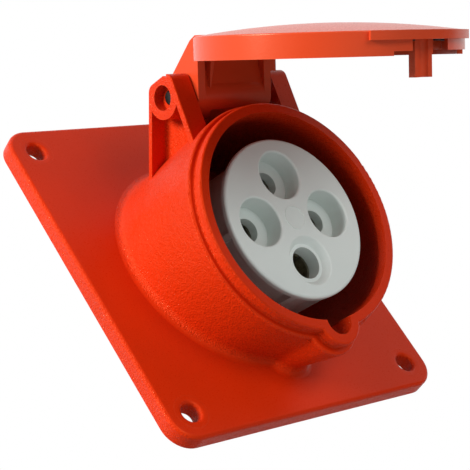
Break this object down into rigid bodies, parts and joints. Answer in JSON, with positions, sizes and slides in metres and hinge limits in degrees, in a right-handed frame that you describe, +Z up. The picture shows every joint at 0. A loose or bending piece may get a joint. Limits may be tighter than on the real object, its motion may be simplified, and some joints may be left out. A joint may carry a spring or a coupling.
{
  "type": "industrial panel socket",
  "caption": "Angled flange-mounted round power socket with a keyed mouth, recessed pin contacts and a hinged sprung lid.",
  "frame": {"origin": "centre of the four fixing holes on the flange's back face", "axes": "-Y out of the panel towards the user, +Z up towards the lid's hinge, +X to the right seen from the front"},
  "size_m": [0.092, 0.1279, 0.1],
  "materials": {
    "red_plastic": "finely grained moulded plastic",
    "grey_plastic": "smooth satin moulded plastic",
    "gasket_rubber": "soft black rubber",
    "contact_metal": "nickel-plated brass",
    "steel": "plain steel"
  },
  "bodies": {
    "socket": {"housing": "red_plastic", "flange_gasket": "gasket_rubber", "hinge_pin": "steel", "lid_spring": "steel", "contact_carrier": "grey_plastic", "carrier_core": "grey_plastic", "carrier_base": "grey_plastic", "terminal_retainer": "grey_plastic", "retainer_screw": "steel", "carrier_screw_left": "steel", "carrier_screw_right": "steel", "contact_l1": "contact_metal", "contact_spring_l1": "steel", "terminal_screw_l1": "steel", "contact_l2": "contact_metal", "contact_spring_l2": "steel", "terminal_screw_l2": "steel", "contact_l3": "contact_metal", "contact_spring_l3": "steel", "terminal_screw_l3": "steel", "contact_earth": "contact_metal", "contact_spring_earth": "steel", "terminal_screw_earth": "steel"},
    "lid": {"lid": "red_plastic", "lid_gasket": "gasket_rubber"}
  },
  "joints": [
    {"name": "lid_hinge", "type": "hinge", "parent": "socket", "child": "lid", "pos_m": [0, -0.0356, 0.03056], "axis": [-1, 0, 0], "range_deg": [-63.5, 46], "stiffness_Nm_per_rad": 0.08, "springref_deg": -108.86, "deforming": ["lid_spring"]}
  ]
}
